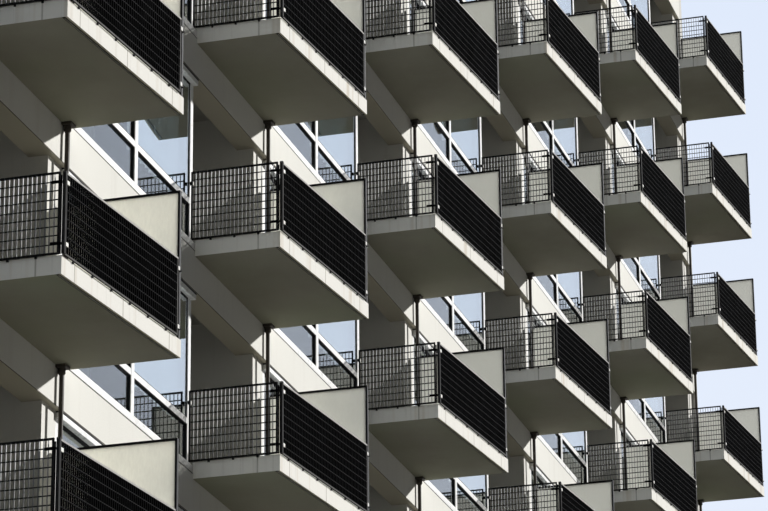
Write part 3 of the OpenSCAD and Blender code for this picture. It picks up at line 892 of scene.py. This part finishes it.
# %% Upright bars
RAIL_FOOT = 0.003
BAR_OUTER, BAR_INNER = -0.0126, -0.0032
BAR_T_NEAR, BAR_PITCH_NEAR = 0.003, 0.0246
BAR_T_FRONT, BAR_PITCH_FRONT = 0.005, 0.024
BAR_SUNK = 0.001
BAR_LOW = RAIL_FOOT + RAIL_W - BAR_SUNK
BAR_HIGH = rail_top - RAIL_W + BAR_SUNK
CORNER_GAP = 0.012
SCREEN_GAP = 0.070
NEAR_START = facade_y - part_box("railings_bay_1")[1].y
NEAR_END = -corner_near.y - CORNER_GAP
FRONT_START, FRONT_END = 0.005, edge_l - SCREEN_GAP


def bar_row(start, end, pitch, thick):
    """Upright flat bars between two end bars, along X, edge on, hung outside the line y = 0."""
    spans = round((end - start) / pitch)
    step = (end - start) / spans
    half = thick / 2
    middles = [start + i * step for i in range(1, spans)]
    return boxes([((x - half, BAR_OUTER, BAR_LOW), (x + half, BAR_INNER, BAR_HIGH)) for x in middles])


near_turn = Matrix.Translation((corner_near.x, 0, 0)) @ Matrix.Rotation(-math.pi / 2, 4, "Z")
front_turn = Matrix.Translation(corner_near) @ Matrix.Rotation(edge_angle, 4, "Z")
half_rail = RAIL_W / 2
near_row = bar_row(NEAR_START + half_rail, NEAR_END - half_rail, BAR_PITCH_NEAR, BAR_T_NEAR)
front_row = bar_row(FRONT_START - half_rail, FRONT_END - half_rail, BAR_PITCH_FRONT, BAR_T_FRONT)
near_bars = moved(near_row, near_turn)
front_bars = moved(front_row, front_turn)
balcony_levels = range(1, storeys)
for bay in range(bays):
    spots = places(balcony_levels, [bay])
    piece(f"railing_bars_near_bay_{bay + 1}", copies(near_bars, spots), bar_black_sunlit)
    piece(f"railing_bars_front_bay_{bay + 1}", copies(front_bars, spots), bar_black_shaded)
print("upright bars on a balcony:", (len(near_bars[1]) + len(front_bars[1])) // len(BOX_FACES))

# %% [markdown]
# ## Window frames on the facade
# A bay's window wall is one white frame: rails at the bottom and top, a post at each end, a
# mullion just past the middle and a transom low down. It sits on the beam with a dark joint,
# its head rail stands forward under the next beam, and black gaskets line the sides of the
# bars where the panes are held. The gaskets are what makes the bars read as two lines, one
# white and one black. Bars and gaskets are boxes, and the bars get small bevels, because an
# edge that catches the light is what tells a real bar from a drawn one.

# %% Front window frames
glass_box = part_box("window_glass_front")
WALL_L = glass_box[1].x - first_x - (bays - 1) * bay_l
FRAME_FRONT, FRAME_BACK = 0.035, 0.075
HEAD = 1.075
SILL_DROP = 0.07
SILL_FRONT = 0.001
SILL_JOINT = 0.0095
RAIL_TOP_Z = -0.02
POST_W, END_POST_W = 0.045, 0.046
MULLION = (1.140, 1.190)
TRANSOM = (0.243, 0.283)
HEAD_RAIL = 0.04
LOW_RAIL_H = 0.045
HEAD_SEAL = 0.008
HEAD_FRONT, SEAL_FRONT = 0.005, 0.002
SET_BACK = 0.0015
upper_levels = range(1, storeys)
sill_z = -SILL_DROP + SILL_JOINT


def low_rail_top(sill):
    """The height of the low rail's top over the floor."""
    return max(RAIL_TOP_Z, sill + LOW_RAIL_H)


def on_all_storeys(shape_over):
    """The shape on every storey: over the floor on the ground, and lower on the beams above."""
    upper_walls = copies(shape_over(sill_z), places(upper_levels))
    return joined([upper_walls, copies(shape_over(0), places([0]))])


def front_frame(sill):
    """The white bars of one window wall, with its lowest edge at the height sill."""
    low_rail = low_rail_top(sill)
    back = FRAME_BACK
    inner = FRAME_FRONT + SET_BACK
    return boxes([
        ((0, SILL_FRONT, sill), (WALL_L, back, low_rail)),
        ((0, HEAD_FRONT, HEAD - HEAD_RAIL), (WALL_L, back, HEAD - HEAD_SEAL)),
        ((0, inner, low_rail), (POST_W, back, HEAD - HEAD_RAIL)),
        ((WALL_L - END_POST_W, inner, low_rail), (WALL_L, back, HEAD - HEAD_RAIL)),
        ((MULLION[0], inner, low_rail), (MULLION[1], back, HEAD - HEAD_RAIL)),
        ((POST_W, inner + SET_BACK, TRANSOM[0]), (MULLION[0], back, TRANSOM[1])),
        ((MULLION[1], inner + SET_BACK, TRANSOM[0]), (WALL_L - END_POST_W, back, TRANSOM[1])),
    ])


frames = on_all_storeys(front_frame)
piece("window_frames_front", frames, frame_white, bevel=0.0015)
print("window walls framed:", bays * storeys)

# %% Gaskets and seals
GASKET_T = 0.004
GASKET_BACK, END_GASKET_BACK = 0.001, 0.003
SILL_SEAL_BACK = 0.003


def front_gaskets(sill):
    """Black strips round each of the four panes, and the seal over the frame's head."""
    low_rail = low_rail_top(sill)
    front = FRAME_FRONT + 2 * SET_BACK + GASKET_BACK
    deep = FRAME_BACK
    strips = [((0, SEAL_FRONT, HEAD - HEAD_SEAL), (WALL_L, FRAME_BACK, HEAD))]
    for x0, x1 in ((POST_W, MULLION[0]), (MULLION[1], WALL_L - END_POST_W)):
        for z0, z1 in ((low_rail, TRANSOM[0]), (TRANSOM[1], HEAD - HEAD_RAIL)):
            strips += [
                ((x0, front, z0), (x0 + GASKET_T, deep, z1)),
                ((x1 - GASKET_T, front + END_GASKET_BACK, z0), (x1, deep, z1)),
                ((x0 + GASKET_T, front, z0), (x1 - GASKET_T, deep, z0 + GASKET_T)),
                ((x0 + GASKET_T, front, z1 - GASKET_T), (x1 - GASKET_T, deep, z1)),
            ]
    return boxes(strips)


gaskets = on_all_storeys(front_gaskets)
piece("window_gaskets_front", gaskets, gasket_black)
sill_seal = boxes([((0, SILL_FRONT + SILL_SEAL_BACK, -SILL_DROP), (WALL_L, FRAME_BACK, sill_z))])
piece("window_sill_seals", copies(sill_seal, places(upper_levels)), gasket_black)
print("faces of the gaskets:", len(gaskets[1]))

# %% [markdown]
# ## Straps and plates
# The two railings of a balcony are tied at the corner, and the front one to the screen, by
# clamps among the solids. What shows on the real ones are flat plates. Straps reach round the
# end of the near railing, black as painted shade, and zinc plates lie on the front one, pale as
# painted light: a shaded and a lit copy of one metal. At the window a small bracket ties the
# near railing to the frame's end post. A filler bar narrows the gap at the corner. All of them
# are thin boxes at the clamps' heights.

# %% Straps, black as painted shade
CLAMP_HEIGHTS = (0.059, 0.389)
BRACKET_Z, BRACKET_HALF_H = 0.376, 0.007
BRACKET_START, BRACKET_END, BRACKET_Y = 0.004, 0.028, 0.020
STRAP_HALF_H, STRAP_OUT, STRAP_REACH = 0.008, 0.0035, 0.046
FILLER_FROM, FILLER_TO, FILLER_DROP = 0.003, 0.009, 0.02
SEAT = 0.001
railing_face = corner_near.x - RAIL_OUT


def shaded_straps():
    """The straps at the corner, the filler bar between the railings and the window bracket."""
    end = -NEAR_END
    filler = (
        (railing_face + SEAT, end - FILLER_TO, RAIL_FOOT),
        (railing_face + FILLER_TO, end - FILLER_FROM, rail_top - FILLER_DROP),
    )
    bracket = (
        (railing_face + BRACKET_START, BRACKET_Y, BRACKET_Z - BRACKET_HALF_H),
        (railing_face + BRACKET_END, FRAME_FRONT + SET_BACK, BRACKET_Z + BRACKET_HALF_H),
    )
    straps = [
        (
            (railing_face - STRAP_OUT, end - FILLER_FROM, z - STRAP_HALF_H),
            (railing_face + SEAT, end + STRAP_REACH, z + STRAP_HALF_H),
        )
        for z in CLAMP_HEIGHTS
    ]
    return boxes([filler, bracket] + straps)


balcony_spots = places(balcony_levels)
piece("railing_straps", copies(shaded_straps(), balcony_spots), bar_black_shaded)
print("straps on a balcony:", len(CLAMP_HEIGHTS))

# %% Plates, pale as painted light
PLATE_HALF_H, PLATE_T = 0.011, 0.006
CORNER_PLATE = (0.007, 0.036)
SCREEN_PLATE, SCREEN_PLATE_Y = (-0.069, -0.043), (-0.0063, -0.0023)
BOLT_PLATE, BOLT_PLATE_T = (0.011, 0.030), 0.003


def sunlit_plates():
    """The plates on the front railing, at the screen and on the window bracket."""
    corner = []
    others = [(
        (railing_face + BOLT_PLATE[0], BRACKET_Y - BOLT_PLATE_T, BRACKET_Z - PLATE_HALF_H),
        (railing_face + BOLT_PLATE[1], BRACKET_Y, BRACKET_Z + PLATE_HALF_H),
    )]
    for z in CLAMP_HEIGHTS:
        low = z - PLATE_HALF_H
        high = z + PLATE_HALF_H
        corner.append((
            (CORNER_PLATE[0], -RAIL_OUT - PLATE_T, low),
            (CORNER_PLATE[1], -RAIL_OUT + SEAT, high),
        ))
        others.append((
            (corner_far.x + SCREEN_PLATE[0], corner_far.y + SCREEN_PLATE_Y[0], low),
            (corner_far.x + SCREEN_PLATE[1], corner_far.y + SCREEN_PLATE_Y[1], high),
        ))
    return joined([moved(boxes(corner), front_turn), boxes(others)])


piece("railing_plates", copies(sunlit_plates(), balcony_spots), plate_zinc_sunlit, bevel=0.0008)
print("balconies with straps and plates:", len(balcony_spots))

# %% [markdown]
# ## Second panes
# The upper sash on the right has a second pane in front of the first, with a thin metal coating
# against the sun. It mirrors more of the sky, and so this light looks paler than its neighbours.
# Its edges sit in a narrow rebate of the bars, so that no slit shows round it.

# %% Second panes
PANE_FRONT, PANE_BACK = 0.0455, 0.0485
REBATE = 0.002
second_pane = boxes([(
    (MULLION[1] - REBATE, PANE_FRONT, TRANSOM[1] - REBATE),
    (WALL_L - END_POST_W + REBATE, PANE_BACK, HEAD - HEAD_RAIL + REBATE),
)])
piece("sash_panes_front", copies(second_pane, places(range(storeys))), coated_glass)
print("second panes:", bays * storeys)

# %% [markdown]
# ## Balcony doors and their windows
# In each recess a door and a window share one opening. Their frames are plain: a frame round
# the opening, a post between the two, and a leaf with a panel at its foot. All bars stand
# round the solid's glass, which runs in the middle of their depth. A sill under the window and
# a lever on the leaf are small, but they tell which side of the post is the door.

# %% Frames in the recesses
loggia_glass_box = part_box("loggia_glass")
GLASS_MIDDLE = (loggia_glass_box[0].y + loggia_glass_box[1].y) / 2 - facade_y
DOOR_X1 = loggia_glass_box[1].x - first_x - (bays - 1) * bay_l
WINDOW_X0 = loggia_glass_box[0].x - first_x
DOOR_W, DOOR_TOP = 0.45, 1.05
DOOR_X0 = DOOR_X1 - DOOR_W
WINDOW_SILL = 0.45
BAR, BAR_HALF_DEPTH = 0.028, 0.022
post_x = DOOR_X0 - BAR / 2
opening_y0 = GLASS_MIDDLE - BAR_HALF_DEPTH
opening_y1 = GLASS_MIDDLE + BAR_HALF_DEPTH
leaf_x0 = DOOR_X0 + BAR
leaf_x1 = DOOR_X1 - BAR
leaf_top = DOOR_TOP - BAR


def opening_frame():
    """The bars round the opening and the post between door and window."""
    y0 = opening_y0
    y1 = opening_y1
    return boxes([
        ((WINDOW_X0, y0, leaf_top), (DOOR_X1, y1, DOOR_TOP)),
        ((WINDOW_X0, y0, WINDOW_SILL), (DOOR_X0, y1, WINDOW_SILL + BAR)),
        ((WINDOW_X0, y0, WINDOW_SILL + BAR), (WINDOW_X0 + BAR, y1, leaf_top)),
        ((post_x, y0, 0), (leaf_x0, y1, leaf_top)),
        ((leaf_x1, y0, 0), (DOOR_X1, y1, leaf_top)),
    ])


print("door", DOOR_W, "wide, window from", round(WINDOW_X0, 3), "to", round(DOOR_X0, 3))

# %% Door leaves
LEAF_BAR, LEAF_STEP = 0.035, 0.006
LEAF_FOOT, FOOT_BAR_TOP = 0.008, 0.05
PANEL_TOP, PANEL_HALF_T = 0.30, 0.010
leaf_y0 = opening_y0 + LEAF_STEP
leaf_y1 = opening_y1 - LEAF_STEP


def door_leaf():
    """The leaf's bars, with the panel at its foot."""
    pane_x0 = leaf_x0 + LEAF_BAR
    pane_x1 = leaf_x1 - LEAF_BAR
    y0 = leaf_y0
    y1 = leaf_y1
    panel_y0 = GLASS_MIDDLE - PANEL_HALF_T
    panel_y1 = GLASS_MIDDLE + PANEL_HALF_T
    return boxes([
        ((leaf_x0, y0, LEAF_FOOT), (pane_x0, y1, leaf_top)),
        ((pane_x1, y0, LEAF_FOOT), (leaf_x1, y1, leaf_top)),
        ((pane_x0, y0, leaf_top - LEAF_BAR), (pane_x1, y1, leaf_top)),
        ((pane_x0, y0, LEAF_FOOT), (pane_x1, y1, FOOT_BAR_TOP)),
        ((pane_x0, y0, PANEL_TOP), (pane_x1, y1, PANEL_TOP + LEAF_BAR)),
        ((pane_x0, panel_y0, FOOT_BAR_TOP), (pane_x1, panel_y1, PANEL_TOP)),
    ])


print("a leaf's bars and panel:", len(door_leaf()[1]) // len(BOX_FACES))

# %% Sills and lever handles
SILL_NOSE, SILL_UNDER, SILL_OVER = 0.045, 0.002, 0.012
LEVER_Z, LEVER_T = 0.50, 0.012
STEM_X, STEM_W, STEM_OUT = 0.022, 0.008, 0.018
LEVER_X, LEVER_OUT, LEVER_BACK = 0.075, 0.020, 0.014


def sill_and_lever():
    """The window's sill, and the door's handle: a stem and a lever across it."""
    nose_y = GLASS_MIDDLE - SILL_NOSE
    stem_x = leaf_x1 - STEM_X + STEM_W
    lever_top = LEVER_Z + LEVER_T
    return boxes([
        ((WINDOW_X0, nose_y, WINDOW_SILL - SILL_UNDER), (post_x, opening_y0, WINDOW_SILL + SILL_OVER)),
        ((leaf_x1 - STEM_X, leaf_y0 - STEM_OUT, LEVER_Z), (stem_x, leaf_y0, lever_top)),
        ((leaf_x1 - LEVER_X, leaf_y0 - LEVER_OUT, LEVER_Z), (stem_x, leaf_y0 - LEVER_BACK, lever_top)),
    ])


recess_shape = joined([opening_frame(), door_leaf(), sill_and_lever()])
recesses = copies(recess_shape, places(range(storeys)))
piece("balcony_door_frames", recesses, frame_white, bevel=0.001)
print("balcony doors framed:", bays * storeys)

# %% [markdown]
# ## Rear windows and entrance doors
# The rear side repeats the storeys with a wide and a narrow window in each bay. Their frames
# stand deep in the wall, against the sheet of glass, over a thin metal sill. The entrance
# doors are dark leaves in a frame, with a tall pane and a pull bar.

# %% Rear frames
REAR_SILL = 0.425
REAR_PIER, WIDE_W, NARROW_W = 0.25, 1.60, 0.80
REAR_BAR_W, REAR_BAR_DEPTH, GLASS_GAP = 0.04, 0.036, 0.001
REAR_SILL_T, REAR_SILL_INSET = 0.006, 0.0005
wide_window = (REAR_PIER, REAR_PIER + WIDE_W, 3)
narrow_window = (bay_l - REAR_PIER - NARROW_W, bay_l - REAR_PIER, 2)
rear_depth = rear_y - facade_y
rear_glass_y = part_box("rear_glass")[1].y - facade_y
ENTRANCE_BAYS = list(range(0, bays, 2))


def rear_window(x0, x1, lights):
    """The frame of a rear window with so many lights."""
    y0 = rear_glass_y + GLASS_GAP
    y1 = y0 + REAR_BAR_DEPTH
    wide = REAR_BAR_W
    z0 = REAR_SILL
    bars = [
        ((x0, y0, z0), (x1, y1, z0 + wide)),
        ((x0, y0, HEAD - wide), (x1, y1, HEAD)),
        ((x0, y0, z0 + wide), (x0 + wide, y1 - SET_BACK, HEAD - wide)),
        ((x1 - wide, y0, z0 + wide), (x1, y1 - SET_BACK, HEAD - wide)),
    ]
    for i in range(1, lights):
        x = x0 + (x1 - x0) * i / lights
        bars.append(((x - wide / 2, y0, z0 + wide), (x + wide / 2, y1 - SET_BACK, HEAD - wide)))
    return boxes(bars)


print("rear glass", round(rear_depth - rear_glass_y, 3), "m inside the rear wall's face")


# %% Rear sills
def rear_sill(x0, x1):
    """A thin metal sill over the wall below a rear window."""
    inner_y = rear_glass_y + GLASS_GAP + REAR_BAR_DEPTH
    outer_y = rear_depth - REAR_SILL_INSET
    return boxes([((x0, inner_y, REAR_SILL), (x1, outer_y, REAR_SILL + REAR_SILL_T))])


upper = places(upper_levels)
ground_plain = places([0], [bay for bay in range(bays) if bay not in ENTRANCE_BAYS])
rear_frames = joined([
    copies(rear_window(*wide_window), places(range(storeys))),
    copies(rear_window(*narrow_window), upper + ground_plain),
])
piece("window_frames_rear", rear_frames, frame_white, bevel=0.0015)
sills = joined([
    copies(rear_sill(*wide_window[:2]), places(range(storeys))),
    copies(rear_sill(*narrow_window[:2]), upper + ground_plain),
])
piece("window_sills_rear", sills, coping_zinc)
print("rear windows framed:", bays * storeys * 2 - len(ENTRANCE_BAYS))

# %% Entrance doors
door_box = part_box("entrance_doors")
ENTRANCE_W = 0.55
ENTRANCE_X0 = door_box[0].x - first_x
ENTRANCE_X1 = ENTRANCE_X0 + ENTRANCE_W
DOOR_FACE = door_box[1].y - facade_y
TRIM_W, TRIM_BACK, TRIM_FRONT = 0.03, 0.004, 0.012
BEAD_MARGIN, BEAD_W, BEAD_FRONT = 0.10, 0.015, 0.008
BEAD_LOW, BEAD_HIGH = 0.30, 0.95


def entrance_trim():
    """A frame round the leaf and the beads round its pane."""
    x0 = ENTRANCE_X0
    x1 = ENTRANCE_X1
    y0 = DOOR_FACE - TRIM_BACK
    y1 = DOOR_FACE + TRIM_FRONT
    bead_y1 = DOOR_FACE + BEAD_FRONT
    bead_x0 = x0 + BEAD_MARGIN
    bead_x1 = x1 - BEAD_MARGIN
    return boxes([
        ((x0, y0, 0), (x0 + TRIM_W, y1, HEAD)),
        ((x1 - TRIM_W, y0, 0), (x1, y1, HEAD)),
        ((x0 + TRIM_W, y0, HEAD - TRIM_W), (x1 - TRIM_W, y1, HEAD)),
        ((bead_x0, y0, BEAD_LOW), (bead_x0 + BEAD_W, bead_y1, BEAD_HIGH)),
        ((bead_x1 - BEAD_W, y0, BEAD_LOW), (bead_x1, bead_y1, BEAD_HIGH)),
        ((bead_x0 + BEAD_W, y0, BEAD_LOW), (bead_x1 - BEAD_W, bead_y1, BEAD_LOW + BEAD_W)),
        ((bead_x0 + BEAD_W, y0, BEAD_HIGH - BEAD_W), (bead_x1 - BEAD_W, bead_y1, BEAD_HIGH)),
    ])


doors = places([0], ENTRANCE_BAYS)
piece("entrance_trim", copies(entrance_trim(), doors), door_grey, bevel=0.001)
print("entrance doors trimmed:", len(doors))

# %% Pull bars
PULL_INSET = 0.07
PULL_LOW, PULL_HIGH = 0.42, 0.62
PULL_HALF, PULL_NEAR, PULL_FAR = 0.006, 0.024, 0.036
STUB_HALF, STUB_T, STUB_INSET, STUB_OUT = 0.004, 0.008, 0.020, 0.026


def entrance_handle():
    """An upright pull bar on two stubs."""
    x = ENTRANCE_X1 - PULL_INSET
    y = DOOR_FACE
    low = PULL_LOW + STUB_INSET
    high = PULL_HIGH - STUB_INSET
    return boxes([
        ((x - PULL_HALF, y + PULL_NEAR, PULL_LOW), (x + PULL_HALF, y + PULL_FAR, PULL_HIGH)),
        ((x - STUB_HALF, y, low), (x + STUB_HALF, y + STUB_OUT, low + STUB_T)),
        ((x - STUB_HALF, y, high - STUB_T), (x + STUB_HALF, y + STUB_OUT, high)),
    ])


piece("entrance_handles", copies(entrance_handle(), doors), coping_zinc, bevel=0.002)
print("pull bars:", len(doors))

# %% Panes of the entrance doors
PANE_HALF_T = 0.002


def entrance_pane():
    """The pane in an entrance door, on the leaf's face."""
    margin = BEAD_MARGIN + BEAD_W
    return boxes([(
        (ENTRANCE_X0 + margin, DOOR_FACE - PANE_HALF_T, BEAD_LOW + BEAD_W),
        (ENTRANCE_X1 - margin, DOOR_FACE + PANE_HALF_T, BEAD_HIGH - BEAD_W),
    )])


piece("entrance_panes", copies(entrance_pane(), doors), door_pane)
print("entrance panes:", len(doors))

# %% [markdown]
# ## Net curtains
# Behind the right upper panes hang net curtains, and their folds show as pale stripes in the
# sun. A curtain is a flat sheet that is gathered to a narrower width, so its plan is a wave.
# Here each one is a grid whose columns follow two waves of different length, deeper at the
# hem than at the heading. Its flat width is the length of that wave, which is measured and
# returned with it.

# %% Curtains
CURTAIN_X0, CURTAIN_X1 = 1.205, 2.070
CURTAIN_Y = 0.105
CURTAIN_TOP, CURTAIN_LOW = 1.070, 0.262
FOLDS, SLOW_FOLDS = 11, 7
FOLD_DEPTH, HEM_DEPTH, HEM_SWAY = 0.006, 0.005, 0.004
UNEVEN, UNEVEN_WAVES = 0.5, 9
COLUMNS, ROWS = 152, 6


def curtain(seed):
    """A gathered curtain in a bay's own frame, and the flat width that it was cut to."""
    draw = np.random.default_rng(seed)
    shift = draw.uniform(0, 2 * math.pi, 3)
    points = []
    across = np.linspace(0, 1, COLUMNS + 1)
    for row in range(ROWS + 1):
        down = row / ROWS
        depth = FOLD_DEPTH + HEM_DEPTH * down
        uneven = UNEVEN * np.sin(across * UNEVEN_WAVES + shift[1])
        wave = np.sin(across * FOLDS * 2 * math.pi + shift[0] + uneven)
        slow = np.sin(across * SLOW_FOLDS * 2 * math.pi + shift[2])
        y = CURTAIN_Y + depth * wave + HEM_SWAY * down * slow
        x = CURTAIN_X0 + (CURTAIN_X1 - CURTAIN_X0) * across
        z = np.full_like(x, CURTAIN_TOP + (CURTAIN_LOW - CURTAIN_TOP) * down)
        points.append(np.stack([x, y, z], 1))
    grid = np.array(points)
    steps = np.linalg.norm(np.diff(grid, axis=1), axis=2)
    cut_width = float(steps.sum(axis=1).mean())
    faces = []
    for row in range(ROWS):
        for column in range(COLUMNS):
            start = row * (COLUMNS + 1) + column
            below = start + COLUMNS + 1
            faces.append((start, below, below + 1, start + 1))
    return (grid.reshape(-1, 3), faces), cut_width


print("curtain of", FOLDS, "folds, gathered to", round(CURTAIN_X1 - CURTAIN_X0, 3), "m")

# %% Net cloth
NET_COVER = 0.45
NET_WHITE = (0.88, 0.90, 0.90, 1)
NET_SHADED = (0.76, 0.80, 0.80, 1)


def net_cloth():
    """Thin white net, which is see-through between its threads."""
    made = bpy.data.materials.new("net_cloth")
    made.use_nodes = True
    tree = made.node_tree
    cloth = tree.nodes["Principled BSDF"]
    cloth.inputs["Alpha"].default_value = NET_COVER
    weave = cloud(tree, (260, 260, 260), 2)
    colour = tinted(tree, weave, NET_WHITE, NET_SHADED)
    tree.links.new(colour, cloth.inputs["Base Color"])
    tree.links.new(ranged(tree, weave, 0.3, 0.7, 0.8, 1.0), cloth.inputs["Roughness"])
    return made


net = net_cloth()
print("net covers", NET_COVER, "of what is behind it")

# %% Hang the curtains
for bay in range(bays):
    for level in range(storeys):
        shape, cut_width = curtain(bay * storeys + level)
        shape = copies(shape, [place(bay, level)])
        hung = piece(f"net_curtain_{bay + 1}_{level}", shape, net, smooth=True)
print("net curtains:", bays * storeys, "each cut", round(cut_width, 2), "m wide")

# %% [markdown]
# ## The roof
# The felt on the roof is laid in sheets across the block, and their laps show as low ridges.
# They are thin strips on the roof slab, between the parapets. The felt also covers the tops of
# the piers, which come up through the slab.

# %% Roof laps
LAP_PITCH, LAP_W, LAP_T = 0.5, 0.04, 0.003
PARAPET_T = 0.08
lap_count = int((last_x - first_x) / LAP_PITCH)
felt = []
for i in range(1, lap_count):
    x = first_x + i * LAP_PITCH
    felt.append(((x, facade_y + PARAPET_T, roof_z), (x + LAP_W, rear_y - PARAPET_T, roof_z + LAP_T)))
for bay in range(bays):
    x = first_x + bay * bay_l
    felt.append((
        (x + pier_x0 - LAP_W, facade_y + PARAPET_T, roof_z),
        (x + pier_x1, facade_y + pier_depth + LAP_W, roof_z + LAP_T / 2),
    ))
piece("roof_laps", boxes(felt), roof_felt)
print("roof laps:", lap_count - 1)
